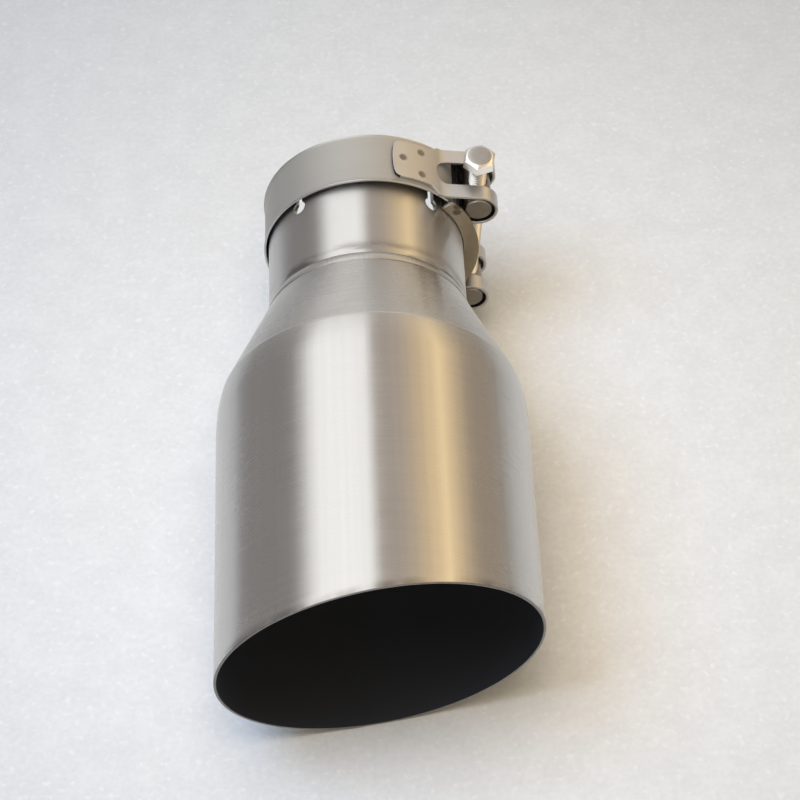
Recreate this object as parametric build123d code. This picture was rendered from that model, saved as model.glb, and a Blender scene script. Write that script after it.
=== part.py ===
from build123d import *
import os
from math import asin, atan2, cos, degrees, hypot, radians, sin, sqrt, tan

# Clamp-on exhaust tip: a spun outlet shell welded to a slotted inlet sleeve, and a
# single-bolt band clamp that closes the sleeve on a tailpipe.
# Millimetres. The tube axis is Y: the outlet points to -Y, the inlet to +Y, and +Z is up.
# The origin is the centre of the inlet mouth. Angles run from +X towards +Z.

# Outlet shell, one spun sheet
body_r = 50.5
shell_wall = 0.9
mouth_y = -182.0
cut_angle = 10.7
cut_long_side = 147.0
cone_angle = 23.85
crease_drop = 1.45
crease_turn = 11.0
rim_round = 0.3

# Inlet sleeve
bore_r = 31.75
sleeve_wall = 1.5
neck_length = 53.66
sleeve_lap = 8.74
seam_gap = 0.05
bead_width = 3.9
bead_crown = 0.3
slot_pair_half_angle = 41.5
slot_width = 2.4
relief_r = 2.4
relief_y = -22.9

# Clamp band
band_width = 20.6
band_inset = 1.0
band_sheet = 0.85
band_slack = 1.75
band_shift = 1.35
bridge_seat_gap = 0.03
band_gap_half_angle = 35.5
edge_bend_r = 4.35
edge_bend_angle = 30.0
clamp_turn = -2.0

# Loops, trunnions and the bridge under the gap
running_gap = 0.3
weld_gap = 0.02
loop_sheet = 1.05
loop_play = 0.95
loop_bend_r = 6.0
head_rise = 20.27
nut_drop = 26.86
head_bend_angle = 52.0
nut_bend_angle = 60.0
leg_end_angle = 79.2
leg_width = 15.8
leg_flare_angle = 48.5
leg_corner_r = 2.5
tail_angle = 4.0
window_width = 9.6
window_stop_angle = -134.0
trunnion_r = 4.7
trunnion_inset = 0.3
trunnion_edge = 0.4
bridge_sheet = 0.6
bridge_half_angle = 45.5
bridge_turn = -4.5
bridge_flange_r = 38.7
bridge_side_gap = 0.35
bridge_corner_r = 2.0

# Hex bolt, its axis just outside the band
bolt_offset = 0.18
bolt_r = 3.0
bolt_length = 70.0
bolt_head_flats = 10.0
bolt_head_height = 4.0
bolt_head_rise = 12.3
bolt_head_turn = 20.0
bolt_face_share = 0.4
bolt_end_edge = 0.7
bolt_chamfer_angle = 30.0
plain_hole_gap = 0.3
thread_gap = 0.05

# Places that follow from the sizes above
sleeve_r = bore_r + sleeve_wall
cone_slope = radians(cone_angle)
cone_end_y = -neck_length
cone_end_in_r = sleeve_r + seam_gap
cone_end_out_r = cone_end_in_r + shell_wall / cos(cone_slope)
crease_y = cone_end_y - (body_r - crease_drop - cone_end_out_r) / tan(cone_slope)
bend_angle = cone_angle - crease_turn
shoulder_bend_r = crease_drop / (1 - cos(radians(bend_angle)))
bend_start_y = crease_y - shoulder_bend_r * sin(radians(bend_angle))
cut_slope = tan(radians(cut_angle))
mouth_reach = body_r * cut_slope

band_y = -(band_inset + band_width / 2)
band_in_r = sleeve_r + band_slack
band_out_r = band_in_r + band_sheet
edge_center_r = band_in_r + edge_bend_r

loop_in_r = trunnion_r + loop_play
loop_mid_r = loop_in_r + loop_sheet / 2
loop_out_r = loop_in_r + loop_sheet
bolt_x = band_out_r + bolt_offset
trunnion_length = band_width - 2 * trunnion_inset
channel_width = band_width + 2 * bridge_side_gap


def polar(radius, angle):
    return Vector(radius * cos(radians(angle)), radius * sin(radians(angle)))


def arc(center, radius, start_angle, end_angle):
    return CenterArc(center, radius, start_angle, end_angle - start_angle)


def turn_about_tube(shape, angle):
    """Turn a shape about the tube axis, positive from +X towards +Z."""
    return Rot(0, -angle, 0) * shape


def at_clamp(shape):
    """Carry a shape from the clamp's own frame, X' along the gap's middle, to the part."""
    return Pos(band_shift, band_y, 0) * turn_about_tube(shape, clamp_turn)


def fan(radius, start_angle, end_angle, steps):
    """Pie-slice face about the origin, with a straight-sided rim."""
    angles = [start_angle + (end_angle - start_angle) * i / steps for i in range(steps + 1)]
    rim = [polar(radius, angle) for angle in angles]
    return make_face(Polyline(Vector(0, 0), *rim, close=True).edges())


def make_outer_shell():
    """Tube, gentle bend, crease and cone of one wall, cut off at a slant at the mouth."""
    bend_center = Vector(body_r - shoulder_bend_r, bend_start_y)
    inner_bend_r = shoulder_bend_r - shell_wall
    inner_trim = degrees(shell_wall * tan(radians(crease_turn / 2)) / inner_bend_r)
    far_y = mouth_y - 2 * mouth_reach
    body_in_r = body_r - shell_wall
    outer_bend = arc(bend_center, shoulder_bend_r, 0, bend_angle)
    inner_bend = arc(bend_center, inner_bend_r, 0, bend_angle - inner_trim)
    outline = [
        Line((body_r, far_y), outer_bend @ 0),
        outer_bend,
        Line(outer_bend @ 1, (cone_end_out_r, cone_end_y)),
        Line((cone_end_out_r, cone_end_y), (cone_end_in_r, cone_end_y)),
        Line((cone_end_in_r, cone_end_y), inner_bend @ 1),
        inner_bend,
        Line(inner_bend @ 0, (body_in_r, far_y)),
        Line((body_in_r, far_y), (body_r, far_y)),
    ]
    shell = revolve(make_face(outline), Axis.Y)
    lean = polar(cut_slope, cut_long_side)
    mouth = Plane(origin=(0, mouth_y, 0), z_dir=(lean.X, 1, lean.Y))
    shell = split(shell, bisect_by=mouth, keep=Keep.TOP)
    rim = shell.edges().sort_by(Axis.Y)[:2]
    return fillet(rim, rim_round)


def make_inlet_sleeve():
    ring = Circle(sleeve_r) - Circle(bore_r)
    tube = extrude(Plane.XZ * ring, neck_length + sleeve_lap)
    root_r = sleeve_r - sleeve_wall / 2
    toe = Vector(sleeve_r, cone_end_y + bead_width)
    heel = Vector(cone_end_out_r, cone_end_y)
    crown = (toe + heel) * 0.5 + Vector(bead_width, heel.X - toe.X).normalized() * bead_crown
    bead = make_face(
        [
            ThreePointArc(heel, crown, toe),
            Line(toe, (root_r, toe.Y)),
            Line((root_r, toe.Y), (root_r, heel.Y)),
            Line((root_r, heel.Y), heel),
        ]
    )
    sleeve = tube + revolve(bead, Axis.Y)
    slot_length = 2 * abs(relief_y)
    cut_depth = 4 * sleeve_wall
    slot = Pos(sleeve_r, 0, 0) * Box(cut_depth, slot_length, slot_width)
    relief = Pos(sleeve_r, relief_y, 0) * Rot(0, 90, 0) * Cylinder(relief_r, cut_depth)
    for middle in (90, 270):
        for side in (-1, 1):
            sleeve -= turn_about_tube(slot + relief, middle + side * slot_pair_half_angle)
    return sleeve


def make_clamp_band():
    """Open ring with both edges turned outward."""
    bend = radians(edge_bend_angle)
    flat_half = band_width / 2 - edge_bend_r * sin(bend)
    outer_bend_r = edge_bend_r - band_sheet
    top = Vector(edge_center_r, flat_half)
    low = Vector(edge_center_r, -flat_half)
    inner_top = arc(top, edge_bend_r, 180, 180 - edge_bend_angle)
    outer_top = arc(top, outer_bend_r, 180, 180 - edge_bend_angle)
    inner_low = arc(low, edge_bend_r, 180, 180 + edge_bend_angle)
    outer_low = arc(low, outer_bend_r, 180, 180 + edge_bend_angle)
    outline = [
        inner_top,
        Line(inner_top @ 1, outer_top @ 1),
        outer_top,
        Line(outer_top @ 0, outer_low @ 0),
        outer_low,
        Line(outer_low @ 1, inner_low @ 1),
        inner_low,
        Line(inner_low @ 0, inner_top @ 0),
    ]
    ring = revolve(make_face(outline), Axis.Y, 360 - 2 * band_gap_half_angle)
    return at_clamp(turn_about_tube(ring, -band_gap_half_angle))


def make_clamp_bridge():
    """Curved channel on the sleeve, under the gap, with a flange beside each band edge."""
    base_r = sleeve_r + bridge_seat_gap
    height = bridge_flange_r - base_r
    half = channel_width / 2 + bridge_sheet
    channel = Pos(base_r + height / 2, 0) * Rectangle(height, 2 * half)
    channel -= Pos(base_r + bridge_sheet + height / 2, 0) * Rectangle(height, channel_width)
    bridge = revolve(channel, Axis.Y, 2 * bridge_half_angle)
    bridge = turn_about_tube(bridge, bridge_half_angle)
    corners = bridge.edges().filter_by(Axis.Y).filter_by(
        lambda edge: hypot(edge.center().X, edge.center().Z) > bridge_flange_r - bridge_sheet
    )
    bridge = fillet(corners, bridge_corner_r)
    return Pos(0, band_y, 0) * turn_about_tube(bridge, bridge_turn)


def loop_path(rise, bend_at, leg_gap):
    """Middle line of a loop: welded leg, bend, straight run, wrap and tail."""
    leg_r = band_out_r + leg_gap + loop_sheet / 2
    bend_center = polar(leg_r + loop_bend_r, bend_at)
    wrap_center = Vector(bolt_x, rise)
    seat_angle = degrees(atan2(rise, bolt_x))
    across = wrap_center - bend_center
    lean = asin((loop_bend_r + loop_mid_r) / hypot(across.X, across.Y))
    run_angle = degrees(atan2(across.Y, across.X) + lean)
    leg = arc((0, 0), leg_r, leg_end_angle, bend_at)
    bend = arc(bend_center, loop_bend_r, bend_at + 180, run_angle + 270)
    wrap = arc(wrap_center, loop_mid_r, run_angle + 90, seat_angle - 180)
    tail_r = hypot(bolt_x, rise) - loop_mid_r
    tail = arc((0, 0), tail_r, seat_angle, seat_angle + tail_angle)
    return [leg, bend, Line(bend @ 1, wrap @ 0), wrap, tail]


def make_loop(rise, bend_at, leg_gap):
    """Loop strap around a trunnion above the gap, in the clamp's own frame."""
    path = loop_path(rise, bend_at, leg_gap)
    section = Sketch() + [trace(piece, loop_sheet) for piece in path]
    strap = extrude(Plane.XZ * section, band_width / 2, both=True)
    beyond = leg_end_angle + tail_angle
    margin = (band_width - leg_width) / 2
    side = extrude(Plane.XZ * fan(2 * band_out_r, leg_flare_angle, beyond, 3), margin)
    reach = leg_width / 2
    strap -= Pos(0, -reach, 0) * side
    strap -= mirror(Pos(0, -reach, 0) * side, Plane.XZ)
    run_start = path[2] @ 0
    opening_r = 2 * loop_out_r
    around = Pos(bolt_x, rise) * fan(opening_r, window_stop_angle, 90, 7)
    round_x = run_start.X + window_width / 2
    over_x = bolt_x + loop_sheet
    over = Pos((round_x + over_x) / 2, rise + loop_out_r) * Rectangle(over_x - round_x, 2 * loop_in_r)
    window = extrude(Plane.XZ * (Sketch() + [around, over]), window_width / 2, both=True)
    window += Pos(round_x, 0, rise + loop_out_r) * Cylinder(window_width / 2, 2 * loop_in_r)
    strap -= window
    leg_corners = strap.edges().filter_by(
        lambda edge: abs(edge.length - loop_sheet) < 0.01
        and degrees(atan2(edge.center().Z, edge.center().X)) > leg_end_angle - 0.5
    )
    return fillet(leg_corners, leg_corner_r)


def make_head_bracket():
    return at_clamp(make_loop(head_rise, head_bend_angle, weld_gap))


def make_nut_bracket():
    return at_clamp(mirror(make_loop(nut_drop, nut_bend_angle, running_gap), Plane.XY))


def make_trunnion(height, hole_gap):
    """Cross bar with one hole for the bolt, in the upper or lower loop."""
    bar = extrude(Plane.XZ * Circle(trunnion_r), trunnion_length / 2, both=True)
    bar = chamfer(bar.edges(), trunnion_edge)
    bar -= Cylinder(bolt_r + hole_gap, 4 * trunnion_r)
    return at_clamp(Pos(bolt_x, 0, height) * bar)


def make_clamp_bolt():
    hexagon = RegularPolygon(bolt_head_flats / 2, 6, major_radius=False, rotation=bolt_head_turn)
    head = extrude(hexagon, bolt_head_height)
    corner_r = bolt_head_flats / sqrt(3) + bolt_end_edge
    face_r = bolt_face_share * bolt_head_flats
    drop = (corner_r - face_r) * tan(radians(bolt_chamfer_angle))
    turned = make_face(
        Polyline(
            (0, 0),
            (corner_r, 0),
            (corner_r, bolt_head_height - drop),
            (face_r, bolt_head_height),
            (0, bolt_head_height),
            close=True,
        ).edges()
    )
    head &= revolve(Plane.XZ * turned, Axis.Z)
    shank = Pos(0, 0, -bolt_length / 2) * Cylinder(bolt_r, bolt_length)
    shank = chamfer(shank.edges().sort_by(Axis.Z)[0], bolt_end_edge)
    return at_clamp(Pos(bolt_x, 0, head_rise + bolt_head_rise) * (head + shank))


nodes = {
    "outer_shell": make_outer_shell(),
    "inlet_sleeve": make_inlet_sleeve(),
    "clamp_band": make_clamp_band(),
    "clamp_bridge": make_clamp_bridge(),
    "head_bracket": make_head_bracket(),
    "nut_bracket": make_nut_bracket(),
    "head_trunnion": make_trunnion(head_rise, plain_hole_gap),
    "nut_trunnion": make_trunnion(-nut_drop, thread_gap),
    "clamp_bolt": make_clamp_bolt(),
}

os.makedirs("parts", exist_ok=True)
for name, shape in nodes.items():
    export_step(shape, f"parts/{name}.step")
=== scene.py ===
from math import asin, atan2, ceil, cos, hypot, pi, radians, sin, sqrt, tan

import bmesh
import bpy
from mathutils import Matrix, Vector


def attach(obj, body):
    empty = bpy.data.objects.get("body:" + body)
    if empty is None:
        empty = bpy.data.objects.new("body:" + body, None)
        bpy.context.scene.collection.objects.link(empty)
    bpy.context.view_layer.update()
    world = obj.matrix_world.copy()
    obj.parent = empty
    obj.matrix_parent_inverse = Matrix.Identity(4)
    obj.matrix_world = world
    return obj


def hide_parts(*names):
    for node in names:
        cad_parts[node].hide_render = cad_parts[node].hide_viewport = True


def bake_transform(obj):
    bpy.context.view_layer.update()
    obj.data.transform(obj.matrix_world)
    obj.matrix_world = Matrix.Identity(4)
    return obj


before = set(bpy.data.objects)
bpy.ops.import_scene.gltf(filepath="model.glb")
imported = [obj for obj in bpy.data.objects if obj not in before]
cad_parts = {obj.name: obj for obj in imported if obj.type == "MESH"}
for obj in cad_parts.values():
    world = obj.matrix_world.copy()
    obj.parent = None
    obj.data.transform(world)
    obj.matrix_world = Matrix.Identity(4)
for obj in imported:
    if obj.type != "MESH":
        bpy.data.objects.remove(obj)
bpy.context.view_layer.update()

# The object: a clamp-on exhaust tip of brushed stainless steel, with a single-bolt band clamp.
# Sizes are millimetres, as in the part's source, but the band's ends and the straps' flare and
# window follow the photograph more closely. Pieces of the tube are built in the tube's own frame:
# its Z runs from the inlet mouth to the outlet, and angles turn from the part's +X to +Z.
MM = 0.001

# Outlet shell
body_r = 50.5
shell_wall = 0.9
mouth_reach = 182.0
cut_slope = tan(radians(10.7))
cut_long_side = radians(147.0)
cone_slope = radians(23.85)
crease_drop = 1.45
crease_turn = radians(11.0)
rim_round = 0.3

# Inlet sleeve
bore_r = 31.75
sleeve_r = 33.25
sleeve_length = 62.4
neck_length = 53.66
seam_gap = 0.05
bead_width = 3.9
bead_crown = 0.3
bead_ripples = 132
bead_root_depth = 0.4
ripple_share = 0.05
slot_pair_half_angle = 41.5
slot_width = 2.4
relief_r = 2.4
relief_reach = 22.9
sleeve_edge_round = 0.15

# Clamp band and the bridge under its gap
band_width = 20.6
band_reach = 11.3
band_in_r = 35.0
band_sheet = 0.85
band_shift = 1.35
band_gap_half_angle = 40.0
edge_bend_r = 4.35
edge_bend_angle = 30.0
band_edge_round = 0.2
clamp_turn = -2.0
bridge_sheet = 0.6
bridge_half_angle = 45.5
bridge_turn = -4.5
bridge_seat_r = 33.28
bridge_flange_r = 38.7
bridge_corner_r = 2.0
bridge_bend_r = 0.9
channel_width = 21.3

# Loop brackets, trunnions and bolt
loop_sheet = 1.05
loop_play = 0.95
loop_bend_r = 6.0
head_rise = 20.27
nut_drop = 26.86
head_bend_angle = 52.0
nut_bend_angle = 60.0
leg_end_angle = 79.2
leg_end_bulge = 0.9
leg_width = 15.8
leg_flare_angle = 54.5
leg_corner_r = 2.5
leg_weld_gap = 0.02
flare_length = 3.2
tail_angle = 4.0
dark_tail_lead = 4.0
strap_edge_round = 0.16
window_width = 9.6
window_lead = 4.2
window_stop_angle = -134.0
trunnion_r = 4.7
bolt_offset = 0.18
bolt_r = 3.0
bolt_length = 70.0
bolt_pitch = 1.0
bolt_head_flats = 10.0
bolt_head_height = 4.0
bolt_head_rise = 12.3
bolt_head_turn = 20.0
bolt_face_share = 0.4
bolt_end_edge = 0.7
bolt_chamfer_angle = 30.0
thread_depth = 0.6

# Spot welds. On a bracket's leg: angle about the band's middle and place across the band.
# On the bridge's flange: radius and angle about the tube.
spot_welds = ((73.3, 0.6), (62.9, 4.7), (62.9, -4.9))
spot_r = 1.4
spot_depth = 0.18
spot_ring_rise = 0.05
spot_ring_place = 1.15
spot_ring_half_width = 0.35
flange_spots = ((38.2, 36.0), (36.6, 32.8))
flange_spot_r = 1.5

cone_end_in_r = sleeve_r + seam_gap
cone_end_out_r = cone_end_in_r + shell_wall / cos(cone_slope)
crease_r = body_r - crease_drop
crease_reach = neck_length + (crease_r - cone_end_out_r) / tan(cone_slope)
bend_slope = cone_slope - crease_turn
shoulder_bend_r = crease_drop / (1 - cos(bend_slope))
bend_reach = crease_reach + shoulder_bend_r * sin(bend_slope)
band_out_r = band_in_r + band_sheet
loop_mid_r = trunnion_r + loop_play + loop_sheet / 2
bolt_x = band_out_r + bolt_offset

# Frames of the pieces in the part
tube_frame = Matrix.Rotation(pi / 2, 4, "X")
clamp_frame = Matrix.Translation((band_shift * MM, -band_reach * MM, 0)) @ Matrix.Rotation(
    radians(-clamp_turn), 4, "Y"
)
bolt_frame = clamp_frame @ Matrix.Translation(
    (bolt_x * MM, 0, (head_rise + bolt_head_rise) * MM)
)

# Polished stainless steel
steel_tint = (0.56, 0.55, 0.535, 1.0)

# Studio, in metres: the table's sides, the place that the lamps point at, and the camera
table_x = (-0.23, 0.55)
table_y = (-0.45, 0.55)
lamp_aim = (0.044, -0.064, -0.05)
camera_place = (-0.00714, -0.5236, 0.60609)
camera_right = (0.99930, -0.03746, 0.0)
camera_back = (-0.02196, -0.58584, 0.81013)
camera_lens = 103.06


# Shader maths


class Socket:
    """An output socket. Arithmetic on it adds Math nodes to its tree."""

    def __init__(self, tree, output):
        self.tree = tree
        self.output = output

    def math(self, operation, *values):
        sockets = dict(enumerate(values))
        return add_node(self.tree, "ShaderNodeMath", {"operation": operation}, sockets)

    def __add__(self, other):
        return self.math("ADD", self, other)

    def __sub__(self, other):
        return self.math("SUBTRACT", self, other)

    def __rsub__(self, other):
        return self.math("SUBTRACT", other, self)

    def __mul__(self, other):
        return self.math("MULTIPLY", self, other)

    __radd__ = __add__
    __rmul__ = __mul__

    def at_least(self, other):
        return self.math("MAXIMUM", self, other)

    def absolute(self):
        return self.math("ABSOLUTE", self)

    def root(self):
        return self.math("SQRT", self)

    def angle_from(self, other):
        """Angle of the direction (other, self), in radians."""
        return self.math("ARCTAN2", self, other)

    def rise(self, low, high):
        """0 below low, 1 above high, and smooth between them."""
        settings = {"interpolation_type": "SMOOTHSTEP"}
        sockets = {"Value": self, "From Min": low, "From Max": high}
        return add_node(self.tree, "ShaderNodeMapRange", settings, sockets)

    def strip(self, low, high, soft):
        """1 between low and high, falling to 0 over a soft edge on each side."""
        return self.rise(low - soft, low + soft) * (1 - self.rise(high - soft, high + soft))


def add_node(tree, kind, settings, sockets, output=0):
    node = tree.nodes.new(kind)
    for name, value in settings.items():
        setattr(node, name, value)
    for name, value in sockets.items():
        if isinstance(value, Socket):
            tree.links.new(value.output, node.inputs[name])
        else:
            node.inputs[name].default_value = value
    return Socket(tree, node.outputs[output]) if node.outputs else None


def mix_colour(tree, share, first, second):
    sockets = {0: share, 6: first, 7: second}
    return add_node(tree, "ShaderNodeMix", {"data_type": "RGBA"}, sockets, 2)


def grey(level):
    return (level, level, level, 1.0)


def scaled_place(tree, scale):
    """Place on the piece in its own frame, in metres, times a scale for each axis."""
    place = add_node(tree, "ShaderNodeTexCoord", {}, {}, "Object")
    sockets = {0: place, 1: scale}
    return add_node(tree, "ShaderNodeVectorMath", {"operation": "MULTIPLY"}, sockets)


def noise(tree, scale, detail=2.0, rough=0.5):
    """Noise from 0 to 1 with its own number of waves per metre along each axis."""
    sockets = {
        "Vector": scaled_place(tree, scale),
        "Scale": 1.0,
        "Detail": detail,
        "Roughness": rough,
    }
    return add_node(tree, "ShaderNodeTexNoise", {}, sockets, "Fac")


def place_axes(tree):
    place = add_node(tree, "ShaderNodeTexCoord", {}, {}, "Object")
    return [
        add_node(tree, "ShaderNodeSeparateXYZ", {}, {"Vector": place}, axis) for axis in "XYZ"
    ]


def bump(tree, height, strength, reach):
    sockets = {"Height": height, "Strength": strength, "Distance": reach * MM}
    return add_node(tree, "ShaderNodeBump", {}, sockets)


def new_material(name):
    material = bpy.data.materials.new(name)
    material.use_nodes = True
    tree = material.node_tree
    tree.nodes.clear()
    return material, tree


def finish_metal(tree, colour, roughness, normal, constants):
    """Ends a metal's tree in one Principled node."""
    sockets = {"Base Color": colour, "Roughness": roughness, "Metallic": 1.0, "Normal": normal}
    sockets.update(constants)
    shader = add_node(tree, "ShaderNodeBsdfPrincipled", {}, sockets)
    add_node(tree, "ShaderNodeOutputMaterial", {}, {"Surface": shader})


def tone(tint, share):
    return tuple(share * part for part in tint[:3]) + (1.0,)


def lathe_brushed(tree, tint, roughness):
    """Colour, roughness, fine line height and broad line height of steel brushed around its own Z."""
    fine = noise(tree, (9.0, 9.0, 2600.0), 4.0, 0.62)
    broad = noise(tree, (28.0, 28.0, 420.0), 3.0, 0.55)
    smudge = noise(tree, (30.0, 30.0, 24.0), 4.0, 0.6)
    drawn = noise(tree, (520.0, 520.0, 5.0), 2.0)
    shade = 0.5 + 0.3 * (fine - 0.5) + 0.3 * (broad - 0.5)
    shade = shade + 0.6 * (smudge - 0.5) + 0.45 * (drawn - 0.5)
    colour = mix_colour(tree, shade, tone(tint, 0.88), tone(tint, 1.12))
    rough = roughness + 0.05 * (fine - 0.5) + 0.05 * (broad - 0.5) + 0.14 * (smudge - 0.5)
    return colour, rough, fine, broad


def make_shell_steel():
    """Brushed body, painted shade along the mouth, and a cone with the rings of the spinning tool."""
    material, tree = new_material("shell_brushed_steel")
    colour, rough, fine, broad = lathe_brushed(tree, steel_tint, 0.27)
    east, up, reach = place_axes(tree)
    slant = cut_slope * (east * cos(cut_long_side) + up * sin(cut_long_side))
    to_mouth = mouth_reach * MM + slant - reach
    # Painted shade: a darker brown band along the mouth stands in for the dark reflection on the rim's
    # rounded edge.
    painted_mouth_shade = noise(tree, (70.0, 70.0, 40.0), 3.0).rise(0.36, 0.62)
    painted_mouth_shade = painted_mouth_shade * (1 - to_mouth.rise(0.6 * MM, 3.2 * MM))
    colour = mix_colour(tree, 0.6 * painted_mouth_shade, colour, (0.20, 0.17, 0.145, 1.0))
    crease = crease_reach * MM
    on_cone = 1 - reach.rise(crease - 0.3 * MM, crease + 0.3 * MM)
    # Painted highlight: a lighter, broken line along the crease, which is also a little less rough.
    painted_crease_highlight = reach.strip(crease - 0.5 * MM, crease - 0.1 * MM, 0.2 * MM) * broad.rise(0.3, 0.6)
    colour = mix_colour(tree, painted_crease_highlight, colour, tone(steel_tint, 1.35))
    dents = noise(tree, (50.0, 50.0, 70.0), 2.0)
    height = 0.0004 * fine + 0.002 * broad * (0.3 + 0.7 * on_cone) + 0.06 * dents
    normal = bump(tree, height, 1.0, 1.0)
    constants = {"Anisotropic": 0.9, "Anisotropic Rotation": 0.25}
    finish_metal(tree, colour, rough - 0.08 * painted_crease_highlight, normal, constants)
    return material


def make_rim_steel():
    """Saw-cut edge of the mouth."""
    material, tree = new_material("rim_cut_steel")
    grain = noise(tree, (600.0, 600.0, 600.0), 3.0)
    colour = mix_colour(tree, grain, (0.20, 0.194, 0.187, 1.0), (0.31, 0.30, 0.29, 1.0))
    finish_metal(tree, colour, 0.36 + 0.14 * grain, bump(tree, grain, 0.2, 0.03), {})
    return material


def make_black_coat():
    """Heat-proof black paint inside the outlet, painted lighter deep inside as painted light."""
    material, tree = new_material("outlet_black_coat")
    grain = noise(tree, (900.0, 900.0, 900.0), 3.0)
    cloud = noise(tree, (30.0, 30.0, 20.0), 2.0)
    # Painted light: the coat is lighter and bluer deep inside, away from the lip, where little light
    # reaches.
    at_lip = (place_axes(tree)[2] + 0.01 * (cloud - 0.5)).rise(0.10, 0.185)
    colour = mix_colour(tree, at_lip, (0.108, 0.116, 0.146, 1.0), (0.028, 0.0298, 0.036, 1.0))
    sockets = {
        "Base Color": colour,
        "Roughness": 0.55 + 0.16 * grain,
        "Specular IOR Level": 0.2,
        "Normal": bump(tree, grain, 0.18, 0.05),
    }
    shader = add_node(tree, "ShaderNodeBsdfPrincipled", {}, sockets)
    add_node(tree, "ShaderNodeOutputMaterial", {}, {"Surface": shader})
    return material


def make_sleeve_steel():
    """Brushed neck with grey heat marks beside the weld."""
    material, tree = new_material("sleeve_brushed_steel")
    colour, rough, fine, broad = lathe_brushed(tree, steel_tint, 0.32)
    reach = place_axes(tree)[2]
    patches = noise(tree, (38.0, 38.0, 170.0), 4.0, 0.6)
    edge = (neck_length - bead_width) * MM
    near_weld = reach.rise(edge - 7.0 * MM, edge - 0.5 * MM)
    burn = near_weld * patches.rise(0.42, 0.60)
    colour = mix_colour(tree, 0.75 * burn, colour, (0.17, 0.155, 0.145, 1.0))
    dents = noise(tree, (60.0, 60.0, 90.0), 2.0)
    height = 0.0004 * fine + 0.0025 * broad + 0.06 * dents
    constants = {"Anisotropic": 0.9, "Anisotropic Rotation": 0.25}
    finish_metal(tree, colour, rough + 0.10 * burn, bump(tree, height, 1.0, 1.0), constants)
    return material


def make_bore_steel():
    """Dull inside of the sleeve."""
    material, tree = new_material("bore_dull_steel")
    lines = noise(tree, (20.0, 20.0, 700.0), 3.0)
    cloud = noise(tree, (40.0, 40.0, 40.0), 3.0)
    colour = mix_colour(tree, lines, (0.36, 0.35, 0.335, 1.0), (0.46, 0.45, 0.43, 1.0))
    finish_metal(tree, colour, 0.42 + 0.14 * cloud, bump(tree, lines, 0.3, 0.02), {})
    return material


def make_weld_steel():
    """Brushed bead with a dark oxide line along each toe."""
    material, tree = new_material("weld_bead_steel")
    grain = noise(tree, (420.0, 420.0, 420.0), 3.0)
    cloud = noise(tree, (40.0, 40.0, 60.0), 3.0)
    breaks = noise(tree, (70.0, 70.0, 70.0), 3.0)
    reach = place_axes(tree)[2]
    toe = (neck_length - bead_width) * MM
    heel = neck_length * MM
    lines = reach.strip(toe - 0.1 * MM, toe + 0.35 * MM, 0.2 * MM)
    lines = lines.at_least(reach.strip(heel - 0.45 * MM, heel + 0.1 * MM, 0.2 * MM))
    lines = lines * (0.35 + 0.65 * breaks.rise(0.38, 0.62))
    colour = mix_colour(tree, cloud.rise(0.35, 0.7), tone(steel_tint, 1.05), tone(steel_tint, 0.8))
    colour = mix_colour(tree, 0.85 * lines, colour, (0.10, 0.09, 0.085, 1.0))
    rough = 0.28 + 0.12 * grain + 0.2 * lines
    finish_metal(tree, colour, rough, bump(tree, grain, 0.15, 0.04), {})
    return material


def make_band_steel():
    """Satin rolled strip, polished along its turned edges."""
    material, tree = new_material("band_satin_steel")
    streaks = noise(tree, (16.0, 1900.0, 16.0), 3.0, 0.6)
    mill = noise(tree, (60.0, 60.0, 60.0), 3.0)
    across = place_axes(tree)[1] + band_reach * MM
    edge = across.absolute().rise(8.9 * MM, 9.9 * MM)
    colour = mix_colour(tree, streaks, (0.465, 0.462, 0.450, 1.0), (0.555, 0.552, 0.538, 1.0))
    rough = 0.66 + 0.10 * (streaks - 0.5) + 0.08 * (mill - 0.5) - 0.32 * edge
    height = 0.004 * streaks + 0.05 * mill
    finish_metal(tree, colour, rough, bump(tree, height, 1.0, 1.0), {})
    return material


def make_painted_shade(name, level):
    """Unpolished, dark inside of a pressed piece: painted shade for faces that lie in shadow."""
    material, tree = new_material(name)
    grain = noise(tree, (300.0, 300.0, 300.0), 3.0)
    brown = (1.0, 0.94, 0.88)
    colour = mix_colour(tree, grain, tone(brown, 0.7 * level), tone(brown, 1.3 * level))
    finish_metal(tree, colour, 0.5 + 0.2 * grain, bump(tree, grain, 0.1, 0.03), {})
    return material


def near_spots(tree, spots, radius):
    """1 at the middle of each spot, in metres, falling to 0 just outside its radius."""
    place = add_node(tree, "ShaderNodeTexCoord", {}, {}, "Object")
    marks = None
    for spot in spots:
        sockets = {0: place, 1: spot}
        settings = {"operation": "DISTANCE"}
        reach = add_node(tree, "ShaderNodeVectorMath", settings, sockets, "Value")
        mark = 1 - reach.rise(0.6 * radius * MM, 1.3 * radius * MM)
        marks = mark if marks is None else marks.at_least(mark)
    return marks


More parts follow.
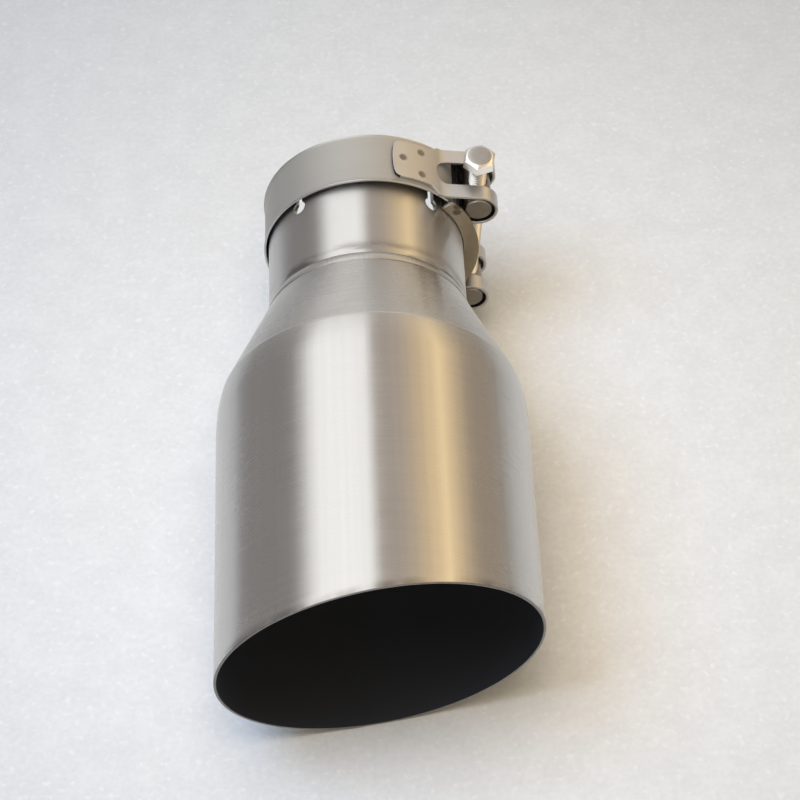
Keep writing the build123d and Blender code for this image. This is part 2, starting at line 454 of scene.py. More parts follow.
def make_bridge_steel():
    """Channel in a darker warm tone of painted shade, with two weld marks on its flange."""
    material, tree = new_material("bridge_warm_steel")
    grain = noise(tree, (260.0, 260.0, 260.0), 3.0)
    # Painted shade: the warm, darker tone stands in for the shaded floor that the channel reflects.
    colour = mix_colour(tree, grain, (0.44, 0.38, 0.285, 1.0), (0.53, 0.465, 0.36, 1.0))
    flange = band_reach + channel_width / 2 + bridge_sheet
    spots = [
        (r * cos(radians(a)) * MM, r * sin(radians(a)) * MM, flange * MM) for r, a in flange_spots
    ]
    burn = near_spots(tree, spots, flange_spot_r) * (0.6 + 0.4 * grain)
    colour = mix_colour(tree, 0.9 * burn, colour, (0.10, 0.060, 0.062, 1.0))
    # Painted highlight: a near-white line along the channel's upper end, at the flange's outer edge.
    east, up, _ = place_axes(tree)
    upper_end = radians(bridge_half_angle + bridge_turn)
    painted_edge_highlight = up.angle_from(east).rise(upper_end - 0.030, upper_end - 0.018)
    painted_edge_highlight = painted_edge_highlight * (east * east + up * up).root().rise(34.4 * MM, 35.0 * MM)
    colour = mix_colour(tree, painted_edge_highlight, colour, (0.86, 0.84, 0.81, 1.0))
    finish_metal(tree, colour, 0.34 + 0.10 * grain + 0.2 * burn, bump(tree, grain, 0.08, 0.03), {})
    return material


def make_bracket_steel():
    """Pressed strap with dark spot welds on its leg."""
    material, tree = new_material("bracket_bright_steel")
    grain = noise(tree, (240.0, 240.0, 240.0), 3.0)
    roll = noise(tree, (700.0, 40.0, 700.0), 2.0)
    colour = mix_colour(tree, grain, (0.55, 0.545, 0.54, 1.0), (0.635, 0.63, 0.625, 1.0))
    east, _, up = place_axes(tree)
    polished = east.rise(27.0 * MM, 34.0 * MM) * up.rise(0.0, 5.0 * MM)
    rough = 0.52 - 0.12 * polished + 0.10 * (grain - 0.5) + 0.06 * (roll - 0.5)
    spots = [leg_spot(angle, across, side) for side in (1, -1) for angle, across in spot_welds]
    burn = near_spots(tree, spots, spot_r) * (0.6 + 0.4 * grain)
    colour = mix_colour(tree, 0.85 * burn, colour, (0.15, 0.12, 0.085, 1.0))
    finish_metal(tree, colour, rough + 0.2 * burn, bump(tree, grain, 0.05, 0.03), {})
    return material


def make_trunnion_steel():
    """Turned bar, browned by oil."""
    material, tree = new_material("trunnion_turned_steel")
    grain = noise(tree, (500.0, 120.0, 500.0), 3.0)
    colour = mix_colour(tree, grain, (0.27, 0.245, 0.215, 1.0), (0.36, 0.33, 0.295, 1.0))
    finish_metal(tree, colour, 0.30 + 0.14 * grain, bump(tree, grain, 0.08, 0.03), {})
    return material


def make_bolt_steel():
    """Bright shank, a head painted near white as a highlight, and a duller head face."""
    material, tree = new_material("bolt_bright_steel")
    grain = noise(tree, (420.0, 420.0, 420.0), 3.0)
    height = place_axes(tree)[2]
    # Painted highlight: the head's sides and chamfer are near white; its face is toned back down.
    head = height.rise(-0.1 * MM, 0.1 * MM)
    face = height.rise((bolt_head_height - 0.1) * MM, (bolt_head_height - 0.02) * MM)
    colour = mix_colour(tree, grain, (0.56, 0.55, 0.53, 1.0), (0.66, 0.65, 0.63, 1.0))
    colour = mix_colour(tree, head, colour, (0.90, 0.89, 0.87, 1.0))
    colour = mix_colour(tree, face, colour, tone(steel_tint, 0.88))
    rough = 0.16 + 0.14 * grain + 0.06 * face
    finish_metal(tree, colour, rough, bump(tree, grain, 0.06, 0.03), {})
    return material


# Mesh helpers


def around(count, start=0.0, turn=2 * pi):
    return [start + turn * i / count for i in range(count)]


def steps(start, end, count):
    return [start + (end - start) * i / count for i in range(count + 1)]


def skin(mesh, rings, closed=True, joined=False):
    """Faces between rings of points. Each ring is closed, and joined ties the last to the first."""
    rows = [[mesh.verts.new(point) for point in ring] for ring in rings]
    pairs = list(zip(rows, rows[1:]))
    if joined:
        pairs.append((rows[-1], rows[0]))
    faces = []
    for low, high in pairs:
        last = len(low) if closed else len(low) - 1
        for i in range(last):
            k = (i + 1) % len(low)
            faces.append(mesh.faces.new((low[i], low[k], high[k], high[i])))
    return rows, faces


def make_piece(name, mesh, place, materials, sharp_angle=32.0):
    """Turns a bmesh in millimetres into an object in the part."""
    bmesh.ops.remove_doubles(mesh, verts=mesh.verts[:], dist=1e-4)
    bmesh.ops.recalc_face_normals(mesh, faces=mesh.faces[:])
    bmesh.ops.scale(mesh, vec=(MM, MM, MM), verts=mesh.verts[:])
    data = bpy.data.meshes.new(name)
    mesh.to_mesh(data)
    mesh.free()
    for material in materials:
        data.materials.append(material)
    data.shade_smooth()
    data.set_sharp_from_angle(angle=radians(sharp_angle))
    piece = bpy.data.objects.new(name, data)
    bpy.context.scene.collection.objects.link(piece)
    piece.matrix_world = place
    return piece


def offset_loop(loop, distance, is_seam):
    """Moves a closed outline to its left by a distance, but never off a seam."""
    moved = []
    count = len(loop)
    for i, point in enumerate(loop):
        sides = []
        for first, second in ((loop[i - 1], point), (point, loop[(i + 1) % count])):
            if not is_seam(first, second):
                along = (second - first).normalized()
                sides.append(Vector((-along.y, along.x)))
        across = sum(sides, Vector((0, 0)))
        if sides:
            across *= distance * len(sides) / across.length_squared
        moved.append(point + across)
    return moved


def boundary_loops(mesh):
    """Boundary vertices of a flat mesh, in order, with the faces on the left."""
    following = {}
    for edge in mesh.edges:
        if edge.is_boundary:
            loop = edge.link_loops[0]
            following[loop.vert] = loop.link_loop_next.vert
    loops = []
    while following:
        first = next(iter(following))
        chain = [first]
        step = following.pop(first)
        while step is not first:
            chain.append(step)
            step = following.pop(step)
        loops.append(chain)
    return loops


def no_seam(first, second):
    return False


def sheet_solid(outlines, sheet, edge_round, cuts, place, is_seam=no_seam, bright=None):
    """Sheet metal from its flat pattern. Outlines hold the pattern on their left, cuts are the lines
    (axis, value) along which the mesh is divided, and place(s, w, h) bends the sheet into shape.
    Its inside takes the piece's second material. Outside the bright lengths (start, end) its cut
    edge does so too, and beyond their end all of it."""
    mesh = bmesh.new()
    for outline in outlines:
        inner = offset_loop(outline, edge_round, is_seam)
        ring = [mesh.verts.new((point.x, point.y, 0)) for point in inner]
        for first, second in zip(ring, ring[1:] + ring[:1]):
            mesh.edges.new((first, second))
    bmesh.ops.triangle_fill(mesh, use_beauty=True, edges=mesh.edges[:], normal=(0, 0, 1))
    for axis, value in cuts:
        across = [0, 0, 0]
        across[axis] = 1
        point = [value * part for part in across]
        geometry = mesh.verts[:] + mesh.edges[:] + mesh.faces[:]
        bmesh.ops.bisect_plane(mesh, geom=geometry, dist=1e-5, plane_co=point, plane_no=across)
    for face in mesh.faces:
        if face.normal.z < 0:
            face.normal_flip()
    half = sheet / 2
    rounding = [(1 - cos(turn), half - edge_round * (1 - sin(turn))) for turn in steps(pi / 2, 0, 3)]
    rounding += [(inset, -height) for inset, height in reversed(rounding)]
    flat_faces = mesh.faces[:]
    rows_of = {}
    for chain in boundary_loops(mesh):
        flat = [vert.co.xy for vert in chain]
        rows = []
        for inset, height in rounding:
            outer = offset_loop(flat, edge_round * (inset - 1), is_seam)
            rows.append([Vector((point.x, point.y, height)) for point in outer])
        rows_of[tuple(chain)] = rows
    top_of = {vert: vert for face in flat_faces for vert in face.verts}
    low_of = {}
    for vert in top_of:
        vert.co.z = half
        low_of[vert] = mesh.verts.new((vert.co.x, vert.co.y, -half))
    for face in flat_faces:
        inside = mesh.faces.new([low_of[vert] for vert in reversed(face.verts)])
        inside.material_index = 1
    for chain, rows in rows_of.items():
        levels = [list(chain)]
        levels += [[mesh.verts.new(point) for point in row] for row in rows[1:-1]]
        levels.append([low_of[vert] for vert in chain])
        for high, low in zip(levels, levels[1:]):
            for i in range(len(chain)):
                k = (i + 1) % len(chain)
                if not is_seam(chain[i].co.xy, chain[k].co.xy):
                    mesh.faces.new((high[i], low[i], low[k], high[k]))
    if bright:
        mesh.normal_update()
        for face in mesh.faces:
            along = face.calc_center_median().x
            if along > bright[1] or (along < bright[0] and abs(face.normal.z) < 0.9):
                face.material_index = 1
    for vert in mesh.verts:
        vert.co = place(vert.co.x, vert.co.y, vert.co.z)
    return mesh


def round_corner(corner, before, after, radius, count=6):
    """Points of an arc that rounds a corner of an outline."""
    back = (before - corner).normalized()
    ahead = (after - corner).normalized()
    half = back.angle(ahead) / 2
    reach = radius / tan(half)
    center = corner + (back + ahead).normalized() * (radius / sin(half))
    start = corner + back * reach - center
    end = corner + ahead * reach - center
    turn = start.angle_signed(end)
    points = []
    for share in steps(0, 1, count):
        angle = -turn * share
        spun = Vector(
            (start.x * cos(angle) - start.y * sin(angle), start.x * sin(angle) + start.y * cos(angle))
        )
        points.append(center + spun)
    return points


# Tube pieces


def make_shell(steel, coat, rim):
    """Spun shell: cone, crease, shoulder, body, slanted mouth with a rounded rim, and the same inside."""
    count = 192
    outer = []
    for share in steps(0, 1, 8)[:-1]:
        reach = neck_length + (crease_reach - neck_length) * share
        outer.append((cone_end_out_r + (reach - neck_length) * tan(cone_slope), reach))
    tight = 0.12
    outer.append((crease_r - tight * tan(cone_slope), crease_reach - tight))
    for turn in steps(bend_slope - tight / shoulder_bend_r, 0, 12):
        outer.append(
            (body_r - shoulder_bend_r * (1 - cos(turn)), bend_reach - shoulder_bend_r * sin(turn))
        )
    wall_drop = (cone_end_out_r - cone_end_in_r, shell_wall)
    inner = []
    for radius, reach in outer:
        share = min(max((reach - neck_length) / (bend_reach - neck_length), 0.0), 1.0)
        inner.append((radius - wall_drop[0] - (wall_drop[1] - wall_drop[0]) * share, reach))
    body_in_r = body_r - shell_wall
    body_rows = 22

    def ring(radius, reach):
        return [(radius * cos(a), radius * sin(a), reach) for a in around(count)]

    def mouth(angle, radius):
        return mouth_reach + cut_slope * radius * cos(angle - cut_long_side)

    def body_ring(radius, share, short):
        points = []
        for a in around(count):
            end = mouth(a, radius) - short
            points.append((radius * cos(a), radius * sin(a), bend_reach + (end - bend_reach) * share))
        return points

    rings = [ring(*point) for point in outer]
    rings += [body_ring(body_r, share, rim_round) for share in steps(0, 1, body_rows)[1:]]
    for turn in steps(0, pi / 2, 4)[1:]:
        radius = body_r - rim_round * (1 - cos(turn))
        rings.append(body_ring(radius, 1, rim_round * (1 - sin(turn))))
    for turn in steps(pi / 2, 0, 4):
        radius = body_in_r + rim_round * (1 - cos(turn))
        rings.append(body_ring(radius, 1, rim_round * (1 - sin(turn))))
    rim_start = len(outer) + body_rows - 1
    coat_start = len(rings) - 3
    rings += [body_ring(body_in_r, share, rim_round) for share in steps(1, 0, body_rows)[1:-1]]
    rings += [ring(*point) for point in reversed(inner)]
    mesh = bmesh.new()
    faces = skin(mesh, rings, joined=True)[1]
    for i, face in enumerate(faces):
        row = i // count
        if rim_start <= row < coat_start:
            face.material_index = 2
        elif coat_start <= row < len(rings) - 1:
            face.material_index = 1
    return make_piece("outlet_shell", mesh, tube_frame, [steel, coat, rim], sharp_angle=40.0)


def make_sleeve(steel, bore):
    """Slotted tube, wrapped up from its flat pattern."""
    mid_r = (bore_r + sleeve_r) / 2
    girth = 2 * pi * mid_r
    outline = [Vector((0.0, 0.0))]
    slots = sorted(
        radians(middle + side * slot_pair_half_angle) * mid_r for middle in (90, 270) for side in (-1, 1)
    )
    half = slot_width / 2
    opening = asin(half / relief_r)
    for middle in slots:
        outline.append(Vector((middle - half, 0.0)))
        for turn in steps(-opening, -2 * pi + opening, 28):
            outline.append(
                Vector((middle + relief_r * sin(turn), relief_reach - relief_r * cos(turn)))
            )
        outline.append(Vector((middle + half, 0.0)))
    outline += [Vector((girth, 0.0)), Vector((girth, sleeve_length)), Vector((0.0, sleeve_length))]

    def is_seam(first, second):
        return any(abs(first.x - s) < 1e-3 and abs(second.x - s) < 1e-3 for s in (0.0, girth))

    def wrap(s, w, h):
        angle = s / mid_r
        return ((mid_r + h) * cos(angle), (mid_r + h) * sin(angle), w)

    count = 180
    cuts = [(0, girth * i / count) for i in range(1, count)]
    cuts += [(1, w) for w in steps(4, 60, 14)]
    mesh = sheet_solid([outline], sleeve_r - bore_r, sleeve_edge_round, cuts, wrap, is_seam)
    return make_piece("neck_sleeve", mesh, tube_frame, [steel, bore], sharp_angle=40.0)


def make_weld(steel):
    """Fillet weld between neck and cone, with the ripples of one pass."""
    count = 6 * bead_ripples
    root_r = sleeve_r - bead_root_depth
    crown_out = 0.92
    crown_back = 0.4
    rings = []
    for i, angle in enumerate(around(count)):
        points = [(root_r, neck_length)]
        for share in steps(0, 1, 8):
            radius = cone_end_out_r + (sleeve_r - cone_end_out_r) * share
            reach = neck_length - bead_width * share
            bow = 4 * share * (1 - share)
            phase = bead_ripples * angle + 5.0 * (share - 0.5) ** 2
            ripple = 1 - ripple_share + ripple_share * cos(phase)
            radius += bead_crown * bow * ripple * crown_out
            reach -= bead_crown * bow * ripple * crown_back
            points.append((radius, reach))
        points.append((root_r, neck_length - bead_width))
        rings.append([(r * cos(angle), r * sin(angle), z) for r, z in points])
    mesh = bmesh.new()
    skin(mesh, rings, joined=True)
    return make_piece("weld_bead", mesh, tube_frame, [steel], sharp_angle=50.0)


def sheet_section(middle, sheet, edge_round):
    """Closed outline of a bent sheet from its middle line, with rounded edges."""
    half = sheet / 2
    normals = []
    for i, point in enumerate(middle):
        before = middle[max(i - 1, 0)]
        after = middle[min(i + 1, len(middle) - 1)]
        along = (after - before).normalized()
        normals.append(Vector((-along.y, along.x)))
    upper = [p + n * half for p, n in zip(middle, normals)]
    lower = [p - n * half for p, n in zip(middle, normals)]

    def cap(end, inside, normal, side):
        outward = (end - inside).normalized()
        points = []
        for turn in steps(0, pi / 2, 3):
            drop = edge_round * (1 - cos(turn))
            push = edge_round * (sin(turn) - 1)
            points.append(end + outward * push + normal * (side * (half - drop)))
        return points

    far = cap(middle[-1], middle[-2], normals[-1], 1)
    near_low = cap(middle[0], middle[1], normals[0], -1)
    far += list(reversed(cap(middle[-1], middle[-2], normals[-1], -1)))
    near = near_low + list(reversed(cap(middle[0], middle[1], normals[0], 1)))
    return upper[1:-1] + far + list(reversed(lower[1:-1])) + near


def make_band(steel, inside):
    """Open ring with both edges turned outward, in the part's frame."""
    mid_r = band_in_r + band_sheet / 2
    bend = radians(edge_bend_angle)
    bend_mid_r = edge_bend_r - band_sheet / 2
    flat_half = band_width / 2 - edge_bend_r * sin(bend)
    turned = [
        Vector((flat_half + bend_mid_r * sin(turn), mid_r + bend_mid_r * (1 - cos(turn))))
        for turn in steps(0, bend, 6)
    ]
    mirrored = [Vector((-point.x, point.y)) for point in reversed(turned)]
    middle = mirrored + turned
    section = sheet_section(middle, band_sheet, band_edge_round)
    start = radians(band_gap_half_angle)
    end = 2 * pi - start
    rings = []
    for angle in steps(start, end, 150):
        rings.append([(p.y * cos(angle), p.x, p.y * sin(angle)) for p in section])
    mesh = bmesh.new()
    rows, faces = skin(mesh, rings)
    # Painted shade: the band's inner faces and its end caps take the dark second material.
    outside = len(middle) + 6
    for i, face in enumerate(faces):
        if outside <= i % len(section) < outside + len(middle) - 2:
            face.material_index = 1
    for row in (rows[0], rows[-1]):
        mesh.faces.new(row).material_index = 1
    return make_piece("clamp_band_strip", mesh, clamp_frame, [steel, inside], sharp_angle=38.0)


def make_bridge(steel, inside):
    """Curved channel under the gap, with a flange beside each band edge and painted shade on its inside.
    """
    base_half = channel_width / 2 + bridge_sheet
    half_turn = radians(bridge_half_angle)

    def section(flange):
        top = max(flange, bridge_sheet + 0.2)
        outer = [Vector((-base_half, top)), Vector((-base_half, bridge_bend_r))]
        for turn in steps(0, pi / 2, 4)[1:]:
            inset = bridge_bend_r * (1 - cos(turn))
            outer.append(Vector((-base_half + inset, bridge_bend_r * (1 - sin(turn)))))
        right = [Vector((-point.x, point.y)) for point in reversed(outer)]
        wall = channel_width / 2
        inner = [
            Vector((side * wall, height))
            for side, height in ((1, top), (1, bridge_sheet), (-1, bridge_sheet), (-1, top))
        ]
        return outer + right + inner

    full = bridge_flange_r - bridge_seat_r
    rings = []
    corner_marks = [0.0, 0.08, 0.25, 0.5, 0.8, 1.2, 1.6, 2.0]
    marks = [-half_turn + mark / bridge_flange_r for mark in corner_marks]
    marks += steps(marks[-1], -marks[-1], 56)[1:-1]
    marks += [half_turn - mark / bridge_flange_r for mark in reversed(corner_marks)]
    for angle in marks:
        spare = (half_turn - abs(angle)) * bridge_flange_r
        short = max(bridge_corner_r - spare, 0.0)
        height = full - (bridge_corner_r - sqrt(bridge_corner_r**2 - short**2))
        turned = angle + radians(bridge_turn)
        rings.append(
            [
                (
                    (bridge_seat_r + p.y) * cos(turned),
                    (bridge_seat_r + p.y) * sin(turned),
                    band_reach - p.x,
                )
                for p in section(height)
            ]
        )
    mesh = bmesh.new()
    rows, faces = skin(mesh, rings)
    points = len(rings[0])
    # Painted shade: the channel's inner walls and floor take the dark second material.
    for i, face in enumerate(faces):
        if points - 4 <= i % points < points - 1:
            face.material_index = 1
    for row in (rows[0], rows[-1]):
        mesh.faces.new(row)
    return make_piece("bridge_channel", mesh, tube_frame, [steel, inside], sharp_angle=38.0)


# Clamp hardware


def clamp_point(radius, angle, across, side):
    """Point in the clamp's frame from polar place about the band's middle, in metres."""
    return (radius * cos(angle) * MM, across * MM, side * radius * sin(angle) * MM)


def leg_spot(angle, across, side):
    leg_top = band_out_r + leg_weld_gap + loop_sheet
    return clamp_point(leg_top, radians(angle), across, side)


def loop_path(rise, bend_at):
    """Middle line of a loop as (place, direction, length so far), from leg end to tail end,
    and the lengths at which the bend, the straight run, the wrap and the tail start."""
    leg_r = band_out_r + leg_weld_gap + loop_sheet / 2
    leg_bend = radians(bend_at)
    leg_end = radians(leg_end_angle)
    seat = atan2(rise, bolt_x)
    bend_center = Vector((cos(leg_bend), sin(leg_bend))) * (leg_r + loop_bend_r)
    wrap_center = Vector((bolt_x, rise))
    across = wrap_center - bend_center
    lean = asin((loop_bend_r + loop_mid_r) / across.length)
    run_angle = atan2(across.y, across.x) + lean
    run_length = sqrt(across.length_squared - (loop_bend_r + loop_mid_r) ** 2)
    bend_turn = run_angle - (leg_bend - pi / 2)
    wrap_turn = run_angle + pi / 2 - (seat - pi)
    pieces = [
        (-(leg_end - leg_bend), leg_r, 34),
        (bend_turn, loop_bend_r, 10),
        (0.0, run_length, 24),
        (-wrap_turn, loop_mid_r, 44),
        (radians(tail_angle), hypot(bolt_x, rise) - loop_mid_r, 10),
    ]
    place = Vector((cos(leg_end), sin(leg_end))) * leg_r
    heading = leg_end - pi / 2
    length = 0.0
    path = [(place.copy(), heading, length)]
    starts = []
    for turn, size, count in pieces:
        starts.append(length)
        for _ in range(count):
            part = turn / count
            if turn:
                chord = 2 * size * sin(abs(part) / 2)
                move = size * abs(part)
            else:
                chord = size / count
                move = chord
            middle = heading + part / 2
            place = place + Vector((cos(middle), sin(middle))) * chord
            heading += part
            length += move
            path.append((place.copy(), heading, length))
    wrap_stop = starts[3] + (run_angle + pi / 2 - radians(window_stop_angle)) * loop_mid_r
    return path, starts, wrap_stop


def loop_pattern(starts, wrap_stop, total, flare):
    """Flat outlines of a loop: the strap with its narrow rounded leg, and the window."""
    narrow = leg_width / 2
    wide = band_width / 2

    def leg_end(share):
        return Vector((leg_end_bulge * share**2, narrow * share))

    flare_low = Vector((flare, -narrow))
    flare_high = Vector((flare, narrow))
    strap = [leg_end(share) for share in steps(0.6, -0.6, 8)]
    strap += round_corner(leg_end(-1), leg_end(-0.5), flare_low, leg_corner_r)
    strap.append(flare_low)
    strap.append(Vector((flare + flare_length, -wide)))
    strap.append(Vector((total, -wide)))
    strap.append(Vector((total, wide)))
    strap.append(Vector((flare + flare_length, wide)))
    strap.append(flare_high)
    strap += round_corner(leg_end(1), flare_high, leg_end(0.5), leg_corner_r)
    half = window_width / 2
    middle = starts[2] - window_lead + half
    window = [
        Vector((middle - half * cos(turn), half * sin(turn))) for turn in steps(-pi / 2, pi / 2, 20)
    ]
    window += [Vector((wrap_stop, half)), Vector((wrap_stop, -half))]
    return [strap, window]


def make_bracket(name, side, rise, bend_at, steel, inside):
    """Loop strap around a trunnion, bent from its flat pattern."""
    path, starts, wrap_stop = loop_path(rise, bend_at)
    total = path[-1][2]
    marks = [length for _, _, length in path]
    leg_r = band_out_r + leg_weld_gap + loop_sheet / 2
    spots = [(radians(leg_end_angle - angle) * leg_r, across) for angle, across in spot_welds]

    def dimple(s, w):
        """Height of a spot weld: a dish with a low ring of pushed-up metal around it."""
        reach = min(hypot(s - spot_s, w - spot_w) for spot_s, spot_w in spots) / spot_r
        ring = max(0.0, 1 - abs(reach - spot_ring_place) / spot_ring_half_width)
        dish = max(0.0, 1 - reach**2)
        return spot_ring_rise * ring - spot_depth * dish

    def bend(s, w, h):
        last = next((i for i, mark in enumerate(marks) if mark >= s - 1e-6), len(marks) - 1)
        first = max(last - 1, 0)
        span = marks[last] - marks[first]
        share = (s - marks[first]) / span if span else 0.0
        place = path[first][0].lerp(path[last][0], share)
        heading = path[first][1] + (path[last][1] - path[first][1]) * share
        if h > 0.8 * loop_sheet / 2 and s < starts[1]:
            h += dimple(s, w)
        return (place.x - sin(heading) * h, w, side * (place.y + cos(heading) * h))

    cuts = [(0, mark) for mark in marks[1:-1]]
    cuts += [(1, w) for w in steps(-10, 10, 40)]
    flare = starts[1] + radians(bend_at - leg_flare_angle) * leg_r - flare_length / 2
    outlines = loop_pattern(starts, wrap_stop, total, flare)
    # Painted shade: the strap's underside, the leg's cut end, and the tail from a little before its start
    # take the dark material.
    bright = (leg_corner_r, starts[4] - dark_tail_lead)
    mesh = sheet_solid(outlines, loop_sheet, strap_edge_round, cuts, bend, bright=bright)
    return make_piece(name, mesh, clamp_frame, [steel, inside], sharp_angle=40.0)


def make_bolt(steel):
    """Hex bolt with a chamfered head and a rolled thread."""
    mesh = bmesh.new()
    flat_r = bolt_head_flats / 2
    face_r = bolt_face_share * bolt_head_flats
    fall = tan(radians(bolt_chamfer_angle))
    count = 144
    turn = radians(bolt_head_turn)
    edge_in = 0.25
    edge_up = 0.22
    edge_soft = 0.06

    def hex_r(angle):
        return flat_r / cos((angle - turn) % (pi / 3) - pi / 6)

    def ring(radius_at, height_at):
        points = []
        for a in around(count, turn):
            radius = radius_at(a)
            points.append((radius * cos(a), radius * sin(a), height_at(radius)))
        return points

    def top_height(radius):
        return bolt_head_height - (radius - face_r) * fall

    rings = [
        ring(lambda a: bolt_r * 0.9, lambda r: 0.0),
        ring(lambda a: hex_r(a) - edge_in, lambda r: 0.0),
        ring(hex_r, lambda r: edge_up),
        ring(hex_r, lambda r: top_height(r) - edge_soft),
        ring(lambda a: hex_r(a) - 0.08, top_height),
        ring(lambda a: face_r + edge_soft, top_height),
        ring(lambda a: face_r - 0.1, lambda r: bolt_head_height),
        ring(lambda a: 0.5 * face_r, lambda r: bolt_head_height),
    ]
    rows = skin(mesh, rings)[0]
    mesh.faces.new(rows[-1])
    mesh.faces.new(rows[0])
    across = 28
    per_turn = 5
    profile = [0.0, 0.5, 1.0, 1.0, 0.5]
    rounds = ceil(bolt_length / bolt_pitch) + 1
    threads = []
    for j in range(-per_turn, rounds * per_turn):
        row = []
        for i in range(across + 1):
            down = bolt_pitch * (j / per_turn + i / across)
            down = min(max(down, -0.02), bolt_length)
            radius = bolt_r - thread_depth * profile[j % per_turn]
            radius = min(radius, bolt_r - bolt_end_edge + max(bolt_length - down, 0.0))
            angle = 2 * pi * i / across
            row.append((radius * cos(angle), radius * sin(angle), -down))
        threads.append(row)
    rows = skin(mesh, threads, closed=False)[0]
    mesh.faces.new(rows[-1][:-1])
    bmesh.ops.dissolve_degenerate(mesh, dist=1e-4, edges=mesh.edges[:])
    return make_piece("hex_bolt", mesh, bolt_frame, [steel], sharp_angle=28.0)


# Studio


def make_floor():
    """Pale speckled table top."""
    material, tree = new_material("pale_table")
    cloud = noise(tree, (90.0, 90.0, 90.0), 3.0)
    speck = noise(tree, (520.0, 520.0, 520.0), 2.0)
    glint = noise(tree, (380.0, 380.0, 380.0), 1.0)
    shade = 0.45 * cloud + 0.55 * speck
    colour = mix_colour(tree, shade.rise(0.3, 0.7), grey(0.80), grey(0.87))
    colour = mix_colour(tree, glint.rise(0.60, 0.74), colour, grey(0.90))
    sockets = {"Base Color": colour, "Roughness": 0.55, "Specular IOR Level": 0.3}
    shader = add_node(tree, "ShaderNodeBsdfPrincipled", {}, sockets)
    add_node(tree, "ShaderNodeOutputMaterial", {}, {"Surface": shader})
    mesh = bmesh.new()
    corners = [mesh.verts.new((x, table_y[0], 0.0)) for x in table_x]
    corners += [mesh.verts.new((x, table_y[1], 0.0)) for x in reversed(table_x)]
    mesh.faces.new(corners)
    data = bpy.data.meshes.new("table")
    mesh.to_mesh(data)
    mesh.free()
    data.materials.append(material)
    table = bpy.data.objects.new("table", data)
    bpy.context.scene.collection.objects.link(table)
    table.location.z = -body_r * MM


def make_room():
    """Long soft lights beside the tube, seen by the camera and in the metal, over even fill light."""
    world = bpy.data.worlds.new("studio")
    bpy.context.scene.world = world
    world.use_nodes = True
    tree = world.node_tree
    tree.nodes.clear()
    direction = add_node(tree, "ShaderNodeTexCoord", {}, {}, "Generated")
    east, north, up = [
        add_node(tree, "ShaderNodeSeparateXYZ", {}, {"Vector": direction}, axis) for axis in "XYZ"
    ]
    lean = east.angle_from(up) * (180 / pi)
    cool_wall = (0.35, 0.335, 0.33, 1.0)
    warm_wall = (0.50, 0.41, 0.32, 1.0)
    ceiling_paint = (0.61, 0.53, 0.46, 1.0)
    window_white = (1.62, 1.62, 1.61, 1.0)
    lamp_gold = (1.30, 0.98, 0.58, 1.0)
    tube_gold = (2.0, 1.55, 0.9, 1.0)
    end_wall = (0.76, 0.74, 0.71, 1.0)
    fill = (0.277, 0.237, 0.168, 1.0)
    wall = mix_colour(tree, lean.rise(-20.0, 20.0), cool_wall, warm_wall)
    window = lean.rise(-60.0, -40.0) * (1 - lean.rise(-6.0, 4.0))
    ceiling = lean.strip(-2.0, 30.0, 8.0)
    lamp = lean.rise(12.0, 52.0) * (1 - lean.rise(50.0, 75.0))
    tube = lean.strip(47.0, 51.0, 1.5)
    room = mix_colour(tree, ceiling, wall, ceiling_paint)
    room = mix_colour(tree, window, room, window_white)
    room = mix_colour(tree, lamp, room, lamp_gold)
    room = mix_colour(tree, tube, room, tube_gold)
    facing = north.absolute()
    end = 0.75 * facing.rise(0.72, 0.98) + 0.25 * facing.rise(0.95, 0.99)
    room = mix_colour(tree, end, room, end_wall)
    rays = [
        add_node(tree, "ShaderNodeLightPath", {}, {}, name)
        for name in ("Is Camera Ray", "Is Glossy Ray", "Is Transmission Ray")
    ]
    seen = rays[0].at_least(rays[1]).at_least(rays[2])
    light = mix_colour(tree, seen, fill, room)
    shader = add_node(tree, "ShaderNodeBackground", {}, {"Color": light, "Strength": 1.0})
    add_node(tree, "ShaderNodeOutputWorld", {}, {"Surface": shader})


def make_lamp(name, place, size, power, colour, spread):
    """Soft area lamp over the table, not seen in the metal."""
    light = bpy.data.lights.new(name, "AREA")
    light.shape = "SQUARE"
    light.size = size
    light.spread = radians(spread)
    light.energy = power
    light.color = colour
    lamp = bpy.data.objects.new(name, light)
    bpy.context.scene.collection.objects.link(lamp)
    lamp.location = place
    aim = Vector(lamp_aim) - lamp.location
    lamp.rotation_euler = aim.to_track_quat("-Z", "Y").to_euler()
    lamp.visible_glossy = False


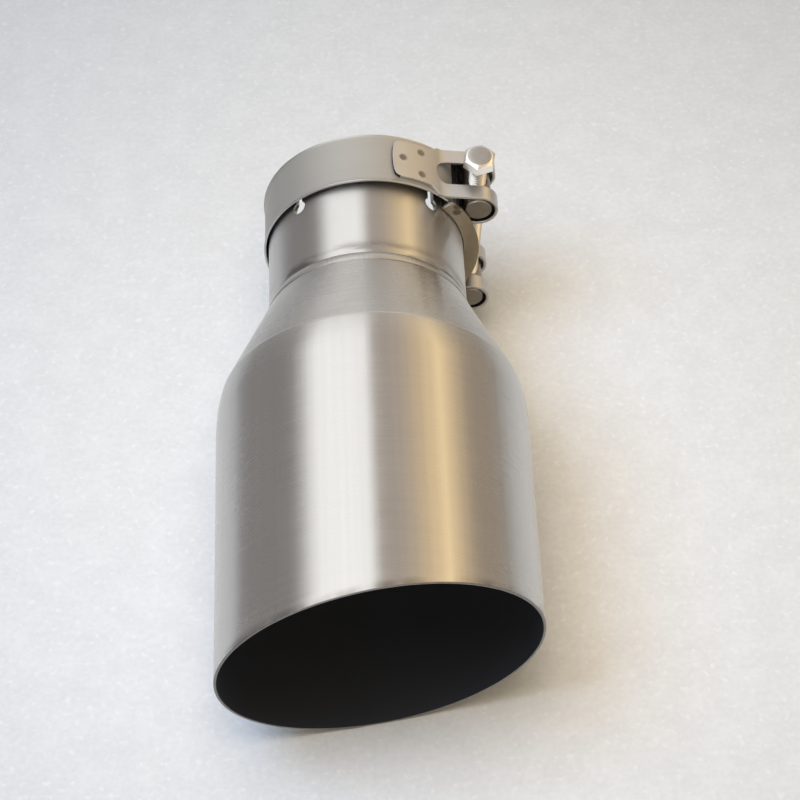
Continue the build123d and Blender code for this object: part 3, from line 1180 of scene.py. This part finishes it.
def make_camera():
    camera = bpy.data.cameras.new("camera")
    camera.sensor_width = 36.0
    camera.lens = camera_lens
    camera.clip_start = 0.05
    camera.clip_end = 20.0
    holder = bpy.data.objects.new("camera", camera)
    bpy.context.scene.collection.objects.link(holder)
    back = Vector(camera_back).normalized()
    right = Vector(camera_right)
    right = (right - back * right.dot(back)).normalized()
    up = back.cross(right)
    turn = Matrix((right, up, back)).transposed().to_4x4()
    holder.matrix_world = Matrix.Translation(camera_place) @ turn
    bpy.context.scene.camera = holder


def place_piece(piece, body, slot, *nodes):
    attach(piece, body)
    if nodes:
        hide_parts(*nodes)


shell_steel = make_shell_steel()
sleeve_steel = make_sleeve_steel()
band_steel = make_band_steel()
bracket_steel = make_bracket_steel()
# Painted shade for the band's and straps' undersides and ends, and for the channel's inside.
strap_shade = make_painted_shade("strap_painted_shade", 0.05)
channel_shade = make_painted_shade("channel_painted_shade", 0.13)
trunnion_steel = make_trunnion_steel()

shell = make_shell(shell_steel, make_black_coat(), make_rim_steel())
place_piece(shell, "tip", "shell_steel", "outer_shell")
sleeve = make_sleeve(sleeve_steel, make_bore_steel())
place_piece(sleeve, "tip", "sleeve_steel", "inlet_sleeve")
place_piece(make_weld(make_weld_steel()), "tip", "sleeve_steel")
bridge = make_bridge(make_bridge_steel(), channel_shade)
place_piece(bridge, "tip", "band_steel", "clamp_bridge")
head_loop = make_bracket("head_loop", 1, head_rise, head_bend_angle, bracket_steel, strap_shade)
place_piece(head_loop, "tip", "bracket_steel", "head_bracket")
nut_loop = make_bracket("nut_loop", -1, nut_drop, nut_bend_angle, bracket_steel, strap_shade)
place_piece(nut_loop, "nut_end", "bracket_steel", "nut_bracket")
place_piece(make_bolt(make_bolt_steel()), "bolt", "bolt_steel", "clamp_bolt")

band = make_band(band_steel, strap_shade)
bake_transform(band)
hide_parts("clamp_band")

for name in ("head_trunnion", "nut_trunnion"):
    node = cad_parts[name]
    node.data.materials.clear()
    node.data.materials.append(trunnion_steel)

make_floor()
make_room()
make_lamp(
    "window_light",
    place=(-0.5, -0.22, 1.0),
    size=0.5,
    power=5.2,
    colour=(0.452, 0.652, 0.95),
    spread=153.0,
)
make_lamp(
    "room_light",
    place=(-0.02, -0.205, 0.6),
    size=0.38,
    power=0.49,
    colour=(1.0, 0.885, 0.745),
    spread=68.0,
)
make_camera()
bpy.context.scene.view_settings.view_transform = "Standard"
